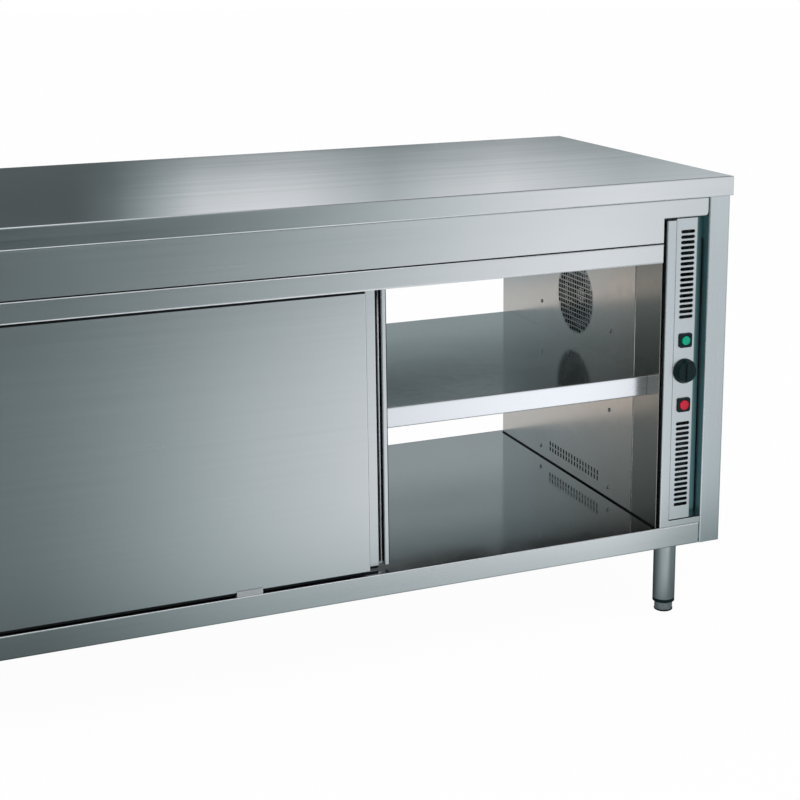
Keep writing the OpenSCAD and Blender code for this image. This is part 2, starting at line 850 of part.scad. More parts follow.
module control_plate() {
    hole = socket_w + 2 * seam;
    color(steel) difference() {
        along_z(plate_bottom, plate_top) folded_section(
            [[plate_x0, front_y], [plate_x1, front_y], [plate_x1, recess_y - seam]], sheet);
        along_y(front_y - past, plate_back + past) {
            vents(control_x);
            for (h = [switch_h, lamp_h])
                translate([control_x, floor_z + h]) square(hole, center = true);
            translate([control_x, floor_z + knob_h]) circle(r = spindle_r + 2 + seam);
        }
    }
}

// A square with round corners
module rounded_square(w, r) {
    square([w, w - 2 * r], center = true);
    square([w - 2 * r, w], center = true);
    for (x = [-1, 1], y = [-1, 1]) translate([x * (w / 2 - r), y * (w / 2 - r)]) circle(r = r);
}

// Bezel and socket of the switch or the lamp, with a round well of radius r
module control_socket(h, r) {
    well = socket_d - 6;
    difference() {
        union() {
            translate([control_x, 0, floor_z + h])
                along_y(front_y - bezel_t, front_y) rounded_square(bezel_w, bezel_r);
            translate([control_x, 0, floor_z + h])
                along_y(front_y - past, plate_back + socket_d) square(socket_w, center = true);
        }
        bar_y(r, front_y - bezel_t - past, plate_back + well, control_x, floor_z + h);
    }
}

// Shallow dome of radius r on a stem, from depth back to its top in front of the bezel
module domed_cap(h, r, stem) {
    rise = 1.6;
    face = lens_proud - rise;
    turned_front(control_x, front_y - bezel_t, floor_z + h) polygon(concat(
        [[0, -stem], [r, -stem], [r, face]],
        [for (a = [15 : 15 : 90]) [r * cos(a), face + rise * sin(a)]]));
}

module switch_bezel() {
    color(black) control_socket(switch_h, button_r + seam);
}

module green_button() {
    color([0.1, 0.65, 0.5]) domed_cap(switch_h, button_r, 12);
}

module lamp_bezel() {
    color(black) control_socket(lamp_h, lens_r + seam);
}

module red_lens() {
    color([0.8, 0.12, 0.15]) domed_cap(lamp_h, lens_r, bezel_t + plate_back - front_y + socket_d - 6 - seam);
}

module thermostat() {
    z = floor_z + knob_h;
    neck = spindle_r + 2;
    color(zinc) {
        bar_y(spindle_r, front_y - knob_t + 2, plate_back + 12, control_x, z);
        bar_y(neck, front_y + seam, plate_back + 8, control_x, z);
        bar_y(neck + 4, plate_back + seam, plate_back + 3, control_x, z);
        box([control_x - 17, plate_back + 6, z - 20], [control_x + 17, plate_back + 36, z + 20]);
    }
}

module thermostat_knob() {
    base = 0.6;
    z = floor_z + knob_h;
    color(black) difference() {
        union() {
            turned_front(control_x, front_y, z) polygon(
                [[0, base], [knob_r, base], [knob_r, base + 2.5], [knob_r - 1.2, base + 4],
                 [knob_r - 4.5, knob_t - 1], [knob_r - 5.5, knob_t], [0, knob_t]]);
            translate([control_x, 0, z]) along_y(front_y - knob_t - grip_t, front_y - knob_t + 2) {
                square([grip_w, 2 * knob_r - 20], center = true);
                for (side = [-1, 1])
                    translate([0, side * (knob_r - 10)]) circle(r = grip_w / 2);
            }
        }
        bar_y(spindle_r + run_clear, front_y - knob_t + 1, front_y + past, control_x, z);
    }
}

// --- Fan, heater and supply -----------------------------------------------

module fan_bracket() {
    start = channel_x + seam;
    half = 95;
    leg_angle = asin(12 / heater_r);
    color(dark_steel) difference() {
        translate([0, fan_y, 0]) along_z(fan_z - half, fan_z + half) folded_section(
            [[start, -bracket_w], [bracket_x + sheet, -bracket_w], [bracket_x + sheet, bracket_w],
             [start, bracket_w]], sheet);
        bar_x(12 + seam, bracket_x - past, motor_x, fan_y, fan_z);
        for (side = [-1, 1])
            bar_x(heater_tube_r + seam, bracket_x - past, motor_x, fan_y + side * 12,
                fan_z + heater_r * cos(leg_angle));
    }
}

module fan_motor() {
    color(zinc) {
        bar_x(motor_r, motor_x, motor_x + motor_l, fan_y, fan_z);
        bar_x(12, impeller_x1 + 4, motor_x + 1, fan_y, fan_z);
        bar_x(shaft_r, impeller_x0 + 4, motor_x + 1, fan_y, fan_z);
        bar_x(motor_r * 0.6, motor_x + motor_l - 1, motor_x + motor_l + 5, fan_y, fan_z);
    }
}

// One curved blade, from radius r0 to r1, drawn in (y, z)
module blade_section(r0, r1) {
    steps = 6;
    sweep = 28;
    path = [for (i = [0 : steps])
        let (r = r0 + (r1 - r0) * i / steps, a = sweep * pow(i / steps, 1.5))
        [r * cos(a), r * sin(a)]];
    section(path, 1.4);
}

module fan_impeller() {
    ring = 5;
    hub_r = 16;
    color(steel) difference() {
        translate([0, fan_y, fan_z]) {
            along_x(impeller_x0, impeller_x0 + 1.5) difference() {
                circle(r = fan_r);
                circle(r = fan_r - 3 * ring);
            }
            along_x(impeller_x0 + 1, impeller_x1 - 1)
                for (i = [0 : fan_blades - 1]) rotate(i * 360 / fan_blades) blade_section(30, fan_r - 2);
            along_x(impeller_x1 - 1.5, impeller_x1) circle(r = fan_r);
            along_x(impeller_x0 + 6, impeller_x1 + 3) circle(r = hub_r);
        }
        bar_x(shaft_r + run_clear, impeller_x0 + 3.5, impeller_x1 + 4, fan_y, fan_z);
    }
}

module heater_element() {
    z = heater_r * cos(asin(12 / heater_r));
    color([0.35, 0.33, 0.32]) {
        translate([heater_x, fan_y, fan_z]) rotate([0, 90, 0]) rotate_extrude()
            translate([heater_r, 0]) circle(r = heater_tube_r, $fn = 24);
        for (side = [-1, 1])
            bar_x(heater_tube_r, heater_x, bracket_x + 22, fan_y + side * 12, fan_z + z);
    }
}

module terminal_block() {
    x = control_x;
    y = back_y - 90;
    depth = 22;
    ways = 5;
    step = 11;
    inset = 4;
    low = floor_z + seam;
    color([0.85, 0.84, 0.8]) difference() {
        union() {
            box([x - ways * step / 2, y, low], [x + ways * step / 2, y + depth, low + 9]);
            for (i = [0 : ways - 1])
                box([x + (i - ways / 2) * step + 1, y + inset, low + 8],
                    [x + (i + 1 - ways / 2) * step - 1, y + depth - inset, low + 19]);
        }
        for (i = [0 : ways - 1])
            bar_z(2, low + 10, low + 20, x + (i + 0.5 - ways / 2) * step, y + depth / 2);
    }
}

module service_panel() {
    fold = 20;
    color(steel) difference() {
        along_z(wall_z0, plate_top) folded_section(
            [[strip_x0, back_y - fold], [strip_x0, back_y], [rail_x, back_y],
             [rail_x, back_y - fold]], -sheet);
        along_y(back_y - sheet - past, back_y + past) vents(rail_x - gland_x);
        bar_y(gland_r + seam, back_y - sheet - past, back_y + past, rail_x - gland_x,
            floor_z + gland_z);
    }
}

module cable_gland() {
    x = rail_x - gland_x;
    z = floor_z + gland_z;
    color(black) difference() {
        union() {
            bar_y(gland_r, back_y - sheet - 12, back_y + 1, x, z);
            translate([x, back_y + seam, z]) rotate([-90, 0, 0]) cylinder(r = gland_r + 3, h = 4, $fn = 6);
            translate([x, back_y - sheet - seam, z]) rotate([90, 0, 0])
                cylinder(r = gland_r + 3, h = 4, $fn = 6);
            translate([x, back_y + seam + 3, z]) rotate([-90, 0, 0])
                cylinder(r1 = gland_r, r2 = gland_r - 3, h = 8);
        }
        bar_y(entry_r, back_y - sheet - 13, back_y + 15, x, z);
    }
}

// --- Legs and feet --------------------------------------------------------

module at_legs() {
    for (x = [-leg_x, leg_x], y = [-leg_y, leg_y]) translate([x, y, 0]) children();
}

module leg() {
    half = leg_plate / 2;
    difference() {
        union() {
            bar_z(leg_r, tube_z, tube_top + 1, 0, 0);
            box([-half, -half, tube_top], [half, half, leg_top]);
        }
        bar_z(leg_r - leg_wall, tube_z - past, tube_top, 0, 0);
    }
}

module legs() {
    color(steel) at_legs() leg();
}

module leg_insert() {
    difference() {
        union() {
            bar_z(leg_r, tube_z - rim_h, tube_z - seam, 0, 0);
            bar_z(leg_r - leg_wall - seam, tube_z - 1, insert_z1, 0, 0);
        }
        bar_z(stud_r + run_clear, tube_z - rim_h - past, insert_z1 + past, 0, 0);
    }
}

module leg_inserts() {
    color(black) at_legs() leg_insert();
}

module foot() {
    rotate_extrude() polygon(
        [[0, 0], [foot_r - 1, 0], [foot_r, 1], [foot_r, foot_top - 1.5], [foot_r - 1.5, foot_top],
         [stud_r, foot_top], [stud_r, stud_top], [0, stud_top]]);
}

module foot_front_left() { color(zinc) translate([-leg_x, -leg_y, 0]) foot(); }
module foot_front_right() { color(zinc) translate([leg_x, -leg_y, 0]) foot(); }
module foot_rear_left() { color(zinc) translate([-leg_x, leg_y, 0]) foot(); }
module foot_rear_right() { color(zinc) translate([leg_x, leg_y, 0]) foot(); }

worktop();
worktop_stiffeners();
right_side_panel();
left_side_panel();
front_fascia();
rear_fascia();
top_rails();
door_tracks();
cavity_ceiling();
floor_panel();
bottom_guides();
right_inner_wall();
right_front_liner();
left_inner_wall();
shelf();
shelf_supports();
control_frame();
control_plate();
switch_bezel();
green_button();
thermostat();
thermostat_knob();
lamp_bezel();
red_lens();
fan_bracket();
fan_motor();
fan_impeller();
heater_element();
terminal_block();
service_panel();
cable_gland();
wall_screws();
legs();
leg_inserts();
foot_front_left();
foot_front_right();
foot_rear_left();
foot_rear_right();
front_left_door_skin();
front_left_door_back();
front_left_hangers();
front_left_roller_a();
front_left_roller_b();
front_right_door_skin();
front_right_door_back();
front_right_hangers();
front_right_roller_a();
front_right_roller_b();
rear_left_door_skin();
rear_left_door_back();
rear_left_hangers();
rear_left_roller_a();
rear_left_roller_b();
rear_right_door_skin();
rear_right_door_back();
rear_right_hangers();
rear_right_roller_a();
rear_right_roller_b();
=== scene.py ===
"""Looks of a heated pass-through cabinet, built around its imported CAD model."""

import math

import bmesh
import bpy
from mathutils import Matrix, Vector


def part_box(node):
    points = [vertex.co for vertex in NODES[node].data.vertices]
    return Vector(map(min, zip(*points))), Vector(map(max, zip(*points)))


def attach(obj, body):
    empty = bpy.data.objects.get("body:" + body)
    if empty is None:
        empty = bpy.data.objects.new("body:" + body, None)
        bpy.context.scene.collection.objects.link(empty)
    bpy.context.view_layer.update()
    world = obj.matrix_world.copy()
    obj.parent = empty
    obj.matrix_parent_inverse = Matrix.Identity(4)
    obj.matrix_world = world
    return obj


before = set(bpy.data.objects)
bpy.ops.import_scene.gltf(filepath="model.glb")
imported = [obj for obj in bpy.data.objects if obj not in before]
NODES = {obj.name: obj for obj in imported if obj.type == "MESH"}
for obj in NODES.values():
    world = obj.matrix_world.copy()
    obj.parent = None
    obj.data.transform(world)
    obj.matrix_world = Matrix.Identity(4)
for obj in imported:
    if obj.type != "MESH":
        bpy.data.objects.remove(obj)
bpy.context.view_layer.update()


# --- Camera, at the photograph's place -------------------------------------

CAMERA_AT = (-0.7396, -2.8412, 1.2779)
CAMERA_YAW = -0.3968
CAMERA_PITCH = -0.2311
CAMERA_ROLL = -0.007
CAMERA_LENS = 72.29
CAMERA_SHIFT = (-0.0450, -0.0989)


def add_camera():
    data = bpy.data.cameras.new("camera")
    camera = bpy.data.objects.new("camera", data)
    bpy.context.scene.collection.objects.link(camera)
    forward = Vector((
        -math.sin(CAMERA_YAW) * math.cos(CAMERA_PITCH),
        math.cos(CAMERA_YAW) * math.cos(CAMERA_PITCH),
        math.sin(CAMERA_PITCH),
    ))
    level = Vector((math.cos(CAMERA_YAW), math.sin(CAMERA_YAW), 0.0))
    above = level.cross(forward)
    right = level * math.cos(CAMERA_ROLL) + above * math.sin(CAMERA_ROLL)
    up = above * math.cos(CAMERA_ROLL) - level * math.sin(CAMERA_ROLL)
    turn = Matrix((right, up, -forward)).transposed().to_4x4()
    camera.matrix_world = Matrix.Translation(CAMERA_AT) @ turn
    data.sensor_width = 36.0
    data.lens = CAMERA_LENS
    data.shift_x, data.shift_y = CAMERA_SHIFT
    data.clip_start, data.clip_end = 0.05, 60.0
    bpy.context.scene.camera = camera


# --- Node helpers -----------------------------------------------------------


class Graph:
    """A material's node tree, with one short call for each kind of node."""

    def __init__(self, name):
        self.material = bpy.data.materials.new(name)
        self.material.use_nodes = True
        self.tree = self.material.node_tree
        self.tree.nodes.clear()
        self.output = self.tree.nodes.new("ShaderNodeOutputMaterial")

    def node(self, kind, inputs=(), **settings):
        made = self.tree.nodes.new("ShaderNode" + kind)
        for key, value in settings.items():
            setattr(made, key, value)
        for key, value in dict(inputs).items():
            self.feed(made.inputs[key], value)
        return made

    def feed(self, socket, value):
        if isinstance(value, bpy.types.NodeSocket):
            self.tree.links.new(value, socket)
        elif value is not None:
            socket.default_value = value

    def math(self, operation, a, b=None, clamp=False):
        made = self.node("Math", operation=operation, use_clamp=clamp)
        self.feed(made.inputs[0], a)
        if b is not None:
            self.feed(made.inputs[1], b)
        return made.outputs[0]

    def place(self):
        return self.node("TexCoord").outputs["Object"]

    def stretched(self, scale, offset=(0, 0, 0)):
        made = self.node("Mapping", {"Vector": self.place(), "Scale": scale, "Location": offset})
        return made.outputs["Vector"]

    def noise(self, scale, detail=2.0, rough=0.5, offset=(0, 0, 0)):
        vector = self.stretched(scale, offset)
        made = self.node("TexNoise", {
            "Vector": vector, "Scale": 1.0, "Detail": detail, "Roughness": rough,
        })
        return made.outputs["Fac"]

    def span(self, value, low, high, from_low=0.0, from_high=1.0):
        made = self.node("MapRange", {
            "Value": value, "From Min": from_low, "From Max": from_high, "To Min": low, "To Max": high,
        })
        return made.outputs["Result"]

    def tinted(self, factor, dark, light):
        return self.mixed(factor, (*dark, 1.0), (*light, 1.0))

    def parts(self, vector):
        made = self.node("SeparateXYZ", {"Vector": vector})
        return made.outputs["X"], made.outputs["Y"], made.outputs["Z"]

    def ramp(self, value, stops, low=0.0, high=1.0):
        """A smooth curve of levels over a value that runs from low to high."""
        if (low, high) != (0.0, 1.0):
            value = self.span(value, 0.0, 1.0, low, high)
        made = self.node("ValToRGB", {"Fac": value})
        elements = made.color_ramp.elements
        while len(elements) < len(stops):
            elements.new(0.5)
        for element, (at, level) in zip(elements, stops):
            element.position = at
            element.color = (level, level, level, 1.0)
        return self.node("RGBToBW", {"Color": made.outputs["Color"]}).outputs["Val"]

    def mixed(self, factor, a, b, kind="RGBA"):
        """The colour or number a where factor is 0, and b where it is 1."""
        made = self.node("Mix", data_type=kind)
        self.feed(made.inputs["Factor"], factor)
        self.feed(made.inputs["A"], a)
        self.feed(made.inputs["B"], b)
        return made.outputs["Result"]

    def blend(self, factor, a, b):
        return self.mixed(factor, a, b, "FLOAT")

    def cells(self, density, output):
        vector = self.stretched((density, density, density))
        return self.node("TexVoronoi", {"Vector": vector, "Scale": 1.0}).outputs[output]

    def soft_edge(self, radius):
        return self.node("Bevel", {"Radius": radius}, samples=4).outputs["Normal"]

    def bump(self, height, strength, distance, normal=None):
        made = self.node("Bump", {
            "Height": height, "Strength": strength, "Distance": distance, "Normal": normal,
        })
        return made.outputs["Normal"]

    def finish(self, shader):
        self.tree.links.new(shader, self.output.inputs["Surface"])
        return self.material


def shade(color, factor):
    return tuple(min(1.0, c * factor) for c in color)


# --- Metals ------------------------------------------------------------------

# Frequencies of the brushed grain across and along its direction, per metre
GRAIN_ACROSS = 170.0
GRAIN_ALONG = 2.2
GRAIN_SCALE = {
    "x": (GRAIN_ALONG, GRAIN_ACROSS, GRAIN_ACROSS),
    "y": (GRAIN_ACROSS, GRAIN_ALONG, GRAIN_ACROSS),
    "z": (GRAIN_ACROSS, GRAIN_ACROSS, GRAIN_ALONG),
}
# A vector across the grain that isn't square to any face that the grain runs on
ACROSS_GRAIN = {
    "x": (0.0, 0.7071, 0.7071),
    "y": (0.7071, 0.0, 0.7071),
    "z": (0.7071, 0.7071, 0.0),
}


def brushed(name, color, roughness, grain="x", anisotropy=0.55, streaks=0.009,
            edge=0.0012, bump=0.0015, waves=0.0, glancing_reflection_tint=None, metallic=1.0):
    """Brushed sheet: fine streaks along the grain, slow smudges, and softly broken edges."""
    g = Graph(name)
    fine = g.noise(GRAIN_SCALE[grain], detail=1.5, rough=0.5)
    broad = g.noise(tuple(s / 4 for s in GRAIN_SCALE[grain]), detail=2.0, offset=(3.1, 1.7, 5.3))
    smudge = g.noise((2.3, 2.3, 2.3), detail=3.0, rough=0.55, offset=(7.0, 2.0, 1.0))
    grain_mix = g.math("ADD", g.math("MULTIPLY", fine, 0.6), g.math("MULTIPLY", broad, 0.4))
    rough_grain = g.span(grain_mix, roughness - streaks, roughness + streaks, 0.3, 0.7)
    rough = g.math("ADD", rough_grain, g.span(smudge, -0.02, 0.03, 0.3, 0.7))
    base = g.tinted(g.span(grain_mix, 0.0, 1.0, 0.25, 0.75), shade(color, 0.977), shade(color, 1.02))
    soft_edge = g.soft_edge(edge)
    if waves:
        along = {"x": (0.7, 18.0, 18.0), "y": (18.0, 0.7, 18.0), "z": (18.0, 18.0, 0.7)}[grain]
        soft_edge = g.bump(g.noise(along, detail=3.0, offset=(9.0, 3.0, 2.0)), waves, 0.0008, soft_edge)
    normal = g.bump(broad, bump, 0.0004, soft_edge)
    tangent = g.node("CombineXYZ", dict(zip("XYZ", ACROSS_GRAIN[grain]))).outputs["Vector"]
    shader = g.node("BsdfPrincipled", {
        "Base Color": base, "Metallic": metallic, "Roughness": rough, "Anisotropic": anisotropy,
        "Normal": normal, "Tangent": tangent,
    })
    # Painted reflection: a colour given to the glancing reflections
    if glancing_reflection_tint:
        shader.inputs["Specular Tint"].default_value = (*glancing_reflection_tint, 1.0)
    return g.finish(shader.outputs["BSDF"])


def polished(name, color, roughness, ripple=0.06, edge=0.0008, heat_tint_and_shade=None, grille_shade=None):
    """Cavity sheet, bright-rolled: a soft mirror that heat tint and painted shade warm and darken towards
    the front.
    """
    g = Graph(name)
    wave = g.noise((5.0, 5.0, 5.0), detail=2.0, offset=(1.3, 4.1, 2.2))
    haze = g.noise((60.0, 60.0, 60.0), detail=4.0, rough=0.65)
    smudge = g.noise((3.4, 3.4, 3.4), detail=4.0, rough=0.6, offset=(2.0, 8.0, 4.0))
    rough = g.math("ADD", g.span(haze, roughness * 0.85, roughness * 1.2, 0.3, 0.7),
                   g.span(smudge, -0.015, 0.03, 0.35, 0.7))
    base = g.tinted(g.span(smudge, 0.0, 1.0, 0.3, 0.7), shade(color, 0.95), shade(color, 1.03))
    # Painted shade with a heat tint: the colour turns darker and warmer towards the front
    if heat_tint_and_shade:
        _, y, _ = g.parts(g.place())
        drift = g.math("ADD", y, g.span(smudge, -0.06, 0.06, 0.3, 0.7))
        base = g.mixed(g.span(drift, 0.0, 1.0, 0.2, -0.24), base, (*heat_tint_and_shade, 1.0))
    # Painted shade: the wall is darkened within a disc round the fan grille
    if grille_shade:
        centre, radius, tint = grille_shade
        away = g.node("VectorMath", {0: g.place(), 1: centre}, operation="DISTANCE").outputs["Value"]
        base = g.mixed(g.span(away, 1.0, 0.0, radius, radius + 0.004), base, (*tint, 1.0))
    soft_edge = g.soft_edge(edge)
    normal = g.bump(wave, ripple, 0.004, soft_edge)
    shader = g.node("BsdfPrincipled", {
        "Base Color": base, "Metallic": 1.0, "Roughness": rough, "Normal": normal,
    })
    return g.finish(shader.outputs["BSDF"])


def zinc(name, color, roughness):
    """Plated or mill-finish metal with a faint crystal mottle."""
    g = Graph(name)
    spangle = g.cells(130.0, "Color")
    grey = g.node("RGBToBW", {"Color": spangle}).outputs["Val"]
    haze = g.noise((35.0, 35.0, 35.0), detail=4.0, rough=0.6)
    base = g.tinted(g.span(grey, 0.0, 1.0, 0.2, 0.8), shade(color, 0.9), shade(color, 1.05))
    rough = g.math("ADD", g.span(haze, roughness - 0.05, roughness + 0.06, 0.3, 0.7),
                   g.span(grey, -0.02, 0.02))
    shader = g.node("BsdfPrincipled", {
        "Base Color": base, "Metallic": 1.0, "Roughness": rough,
        "Normal": g.bump(haze, 0.06, 0.0005, g.soft_edge(0.0005)),
    })
    return g.finish(shader.outputs["BSDF"])


def worn_metal_and_highlight(name, level=1.0):
    """Partly scattering, so light from any side: a worn finish on the clip, painted highlights on edge
    strips.
    """
    g = Graph(name)
    wear = g.noise((24.0, 240.0, 240.0), detail=3.0, rough=0.6)
    base = g.tinted(g.span(wear, 0.0, 1.0, 0.3, 0.7), shade((0.82, 0.85, 0.87), level),
                    shade((0.94, 0.95, 0.96), level))
    shader = g.node("BsdfPrincipled", {
        "Base Color": base, "Metallic": 0.45, "Roughness": g.span(wear, 0.28, 0.44, 0.3, 0.7),
        "Normal": g.bump(wear, 0.1, 0.0002),
    })
    return g.finish(shader.outputs["BSDF"])


# --- Plastics and rubber -------------------------------------------------------


def plastic(name, color, roughness, texture=0.12, grain=1400.0, edge=0.0005):
    """Moulded plastic with a fine spark-eroded texture, softened edges and slight wear."""
    g = Graph(name)
    fine = g.noise((grain, grain, grain), detail=2.0, rough=0.6)
    wear = g.noise((55.0, 55.0, 55.0), detail=4.0, rough=0.6, offset=(4.0, 1.0, 6.0))
    base = g.tinted(g.span(wear, 0.0, 1.0, 0.3, 0.7), shade(color, 0.88), shade(color, 1.1))
    rough = g.span(wear, roughness - 0.05, roughness + 0.07, 0.3, 0.7)
    soft_edge = g.soft_edge(edge)
    shader = g.node("BsdfPrincipled", {
        "Base Color": base, "Roughness": rough, "Specular IOR Level": 0.12,
        "Normal": g.bump(fine, texture, 0.0002, soft_edge),
    })
    return g.finish(shader.outputs["BSDF"])


def lens(name, color, glow):
    """Coloured moulded lens: glossy, ribbed inside, a little light within."""
    g = Graph(name)
    cells = g.cells(420.0, "Distance")
    depth = g.span(cells, 0.0, 1.0, 0.1, 0.75)
    base = g.tinted(depth, shade(color, 0.75), shade(color, 1.15))
    shader = g.node("BsdfPrincipled", {
        "Base Color": base, "Roughness": 0.2, "Coat Weight": 0.2, "Coat Roughness": 0.06,
        "Emission Color": base, "Emission Strength": glow, "Specular IOR Level": 0.15,
        "Normal": g.bump(cells, 0.1, 0.0003),
    })
    return g.finish(shader.outputs["BSDF"])


# --- Pieces ----------------------------------------------------------------


def mesh_piece(name, build, material, body, smooth=True):
    mesh = bpy.data.meshes.new(name)
    bm = bmesh.new()
    build(bm)
    bmesh.ops.recalc_face_normals(bm, faces=bm.faces)
    bm.to_mesh(mesh)
    bm.free()
    for polygon in mesh.polygons:
        polygon.use_smooth = smooth
    piece = bpy.data.objects.new(name, mesh)
    bpy.context.scene.collection.objects.link(piece)
    mesh.materials.append(material)
    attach(piece, body)


AXES = {"x": (1, 2, 0), "y": (2, 0, 1), "z": (0, 1, 2)}


def extrude_profile(bm, points, start, end, axis="z"):
    """A closed profile in the two axes across, extruded along the axis from start to end."""
    u_axis, v_axis, w_axis = AXES[axis]

    def corner(u, v, w):
        at = [0.0, 0.0, 0.0]
        at[u_axis], at[v_axis], at[w_axis] = u, v, w
        return bm.verts.new(at)

    low = [corner(u, v, start) for u, v in points]
    high = [corner(u, v, end) for u, v in points]
    count = len(points)
    for i in range(count):
        k = (i + 1) % count
        bm.faces.new((low[i], low[k], high[k], high[i]))
    bm.faces.new(low[::-1])
    bm.faces.new(high)


def rounded_section(u0, u1, v0, v1, radius, steps=3):
    """A rectangle's outline with rounded corners."""
    points = []
    for u, v, first in ((u1, v1, 0), (u0, v1, 1), (u0, v0, 2), (u1, v0, 3)):
        centre_u = u - math.copysign(radius, u - (u0 + u1) / 2)
        centre_v = v - math.copysign(radius, v - (v0 + v1) / 2)
        for k in range(steps + 1):
            a = math.pi / 2 * (first + k / steps)
            points.append((centre_u + radius * math.cos(a), centre_v + radius * math.sin(a)))
    return points


def strip(name, axis, u_range, v_range, w_range, material, body):
    """A rounded strip along an axis; u and v are the two axes across, in the order of AXES."""
    radius = 0.45 * min(u_range[1] - u_range[0], v_range[1] - v_range[0])

    def build(bm):
        extrude_profile(bm, rounded_section(*u_range, *v_range, radius), *w_range, axis)

    mesh_piece(name, build, material, body)


MM = 0.001

# Lip seal on a door's closing edge, in millimetres from the skin's edge and face
SEAL_PROFILE = [
    (0.05, 2.0), (0.9, 1.6), (1.9, 2.2), (2.5, 3.6), (2.7, 5.6), (2.2, 7.4), (1.5, 8.6),
    (2.2, 9.8), (2.6, 11.4), (2.2, 12.8), (1.2, 13.6), (0.05, 13.4),
]
# The grip of a door, as the CAD has it, in millimetres: the lip at the skin's edge, then the groove
LIP_PROUD = 2.5
LIP_WIDTH = 9.0
GROOVE_WIDTH = 9.4
GROOVE_DEPTH = 8.0
# Thickness of the painted shade lining the groove, and width of the painted highlight rib in it
GRIP_SHADE_THICKNESS = 0.6
GRIP_HIGHLIGHT_WIDTH = 1.5


class Door:
    """A door's closing edge and face, and places measured from them in millimetres."""

    def __init__(self, side, hand):
        self.name = f"{side}_{hand}"
        self.body = f"{self.name}_door"
        self.low, self.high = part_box(f"{self.name}_door_skin")
        self.inward = 1 if side == "front" else -1
        self.outward = -1 if hand == "left" else 1
        self.edge = self.low.x if hand == "left" else self.high.x
        front_face = self.low.y if side == "front" else self.high.y
        self.face = front_face + self.inward * LIP_PROUD * MM

    def across(self, *distances):
        return tuple(sorted(self.edge + self.outward * d * MM for d in distances))

    def into(self, *depths):
        return tuple(sorted(self.face + self.inward * d * MM for d in depths))

    def outline(self, points):
        return [(self.edge + self.outward * x * MM, self.face + self.inward * y * MM)
                for x, y in points]


def door_seal(door, material):
    """The black lip seal, on the edge of the skin where the grip lip is."""

    def build(bm):
        extrude_profile(bm, door.outline(SEAL_PROFILE), door.low.z + MM, door.high.z - MM)

    mesh_piece(f"{door.name}_seal", build, material, door.body)


def door_grip(door, black, bright):
    """The grip's groove: a black channel and cap of painted shade, and a bright rib of painted highlight in
    it.
    """
    start = -LIP_WIDTH - GROOVE_WIDTH
    end = -LIP_WIDTH
    height = (door.low.z + 5 * MM, door.high.z - 2 * MM)
    floor = GROOVE_DEPTH - GRIP_SHADE_THICKNESS
    shade_channel = door.outline([
        (start, 0.3), (start, GROOVE_DEPTH - 0.02), (end, GROOVE_DEPTH - 0.02), (end, 0.1),
        (end - GRIP_SHADE_THICKNESS, 0.1), (end - GRIP_SHADE_THICKNESS, floor), (start + GRIP_SHADE_THICKNESS, floor),
        (start + GRIP_SHADE_THICKNESS, 0.3),
    ])
    mesh_piece(f"{door.name}_grip_shade_channel", lambda bm: extrude_profile(bm, shade_channel, *height), black,
               door.body, smooth=False)
    middle = (start + end) / 2
    strip(f"{door.name}_grip_highlight_rib", "z", door.across(middle - GRIP_HIGHLIGHT_WIDTH / 2, middle + GRIP_HIGHLIGHT_WIDTH / 2),
          door.into(0.6, floor), height, bright, door.body)
    cap = (door.high.z - MM, door.high.z + MM)
    strip(f"{door.name}_grip_shade_cap", "x", door.into(-LIP_PROUD + 0.2, 1.2), cap,
          door.across(start - 1, 0), black, door.body)


def door_gap_shades(door, black):
    """Painted shade: black strips over and under a door that darken the gaps there."""
    plain_end = -LIP_WIDTH - GROOVE_WIDTH - 2
    span = door.across(plain_end, -(door.high.x - door.low.x) / MM + 2)
    over = (door.high.z - 2.2 * MM, door.high.z + 1.6 * MM)
    under = (door.low.z - 5.0 * MM, door.low.z + 1.5 * MM)
    strip(f"{door.name}_top_gap_shade", "x", door.into(-0.35, 1.2), over, span, black, door.body)
    strip(f"{door.name}_foot_gap_shade", "x", door.into(1.2, 2.8), under, span, black, door.body)


HIGHLIGHT_STRIP_HEIGHT = 1.5 * MM


def front_and_rear(name, v_range, w_range, face, proud, depth, material):
    """The same strip along x on the front and on the rear of the cabinet."""
    for side, way in (("front", -1), ("rear", 1)):
        u_range = sorted((way * (face + proud), way * (face - depth)))
        strip(f"{side}_{name}", "x", u_range, v_range, w_range, material, "cabinet")


def sheet_edges(black, bright):
    """A black strip of painted shade under the fascia, and bright strips of painted highlight on sheet
    edges.
    """
    top_low, top_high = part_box("worktop")
    fascia_low, fascia_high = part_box("front_fascia")
    rail_low, rail_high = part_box("top_rails")
    base_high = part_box("floor_panel")[1]
    whole = (fascia_low.x, rail_high.x)
    # Painted shade: a black strip in the gap between the top rail and the fascia
    front_and_rear("fascia_gap_shade", (rail_high.z, fascia_low.z), whole, rail_high.y, 0.15 * MM, 1.5 * MM,
                   black)
    # Painted highlights: bright strips along the sheets' edges
    highlight_strips = [
        ("worktop_edge_highlight", top_low.z, (top_low.x + 2 * MM, top_high.x - 2 * MM), top_high.y),
        ("rail_edge_highlight", rail_high.z - HIGHLIGHT_STRIP_HEIGHT, whole, rail_high.y),
        ("rail_foot_highlight", rail_low.z, whole, rail_high.y),
        ("base_edge_highlight", base_high.z - HIGHLIGHT_STRIP_HEIGHT, (fascia_low.x, fascia_high.x), base_high.y),
    ]
    for name, z, span, face in highlight_strips:
        front_and_rear(name, (z, z + HIGHLIGHT_STRIP_HEIGHT), span, face, 0.25 * MM, 0.7 * MM, bright)


CREASE_SHADE_WIDTH = 2.2 * MM


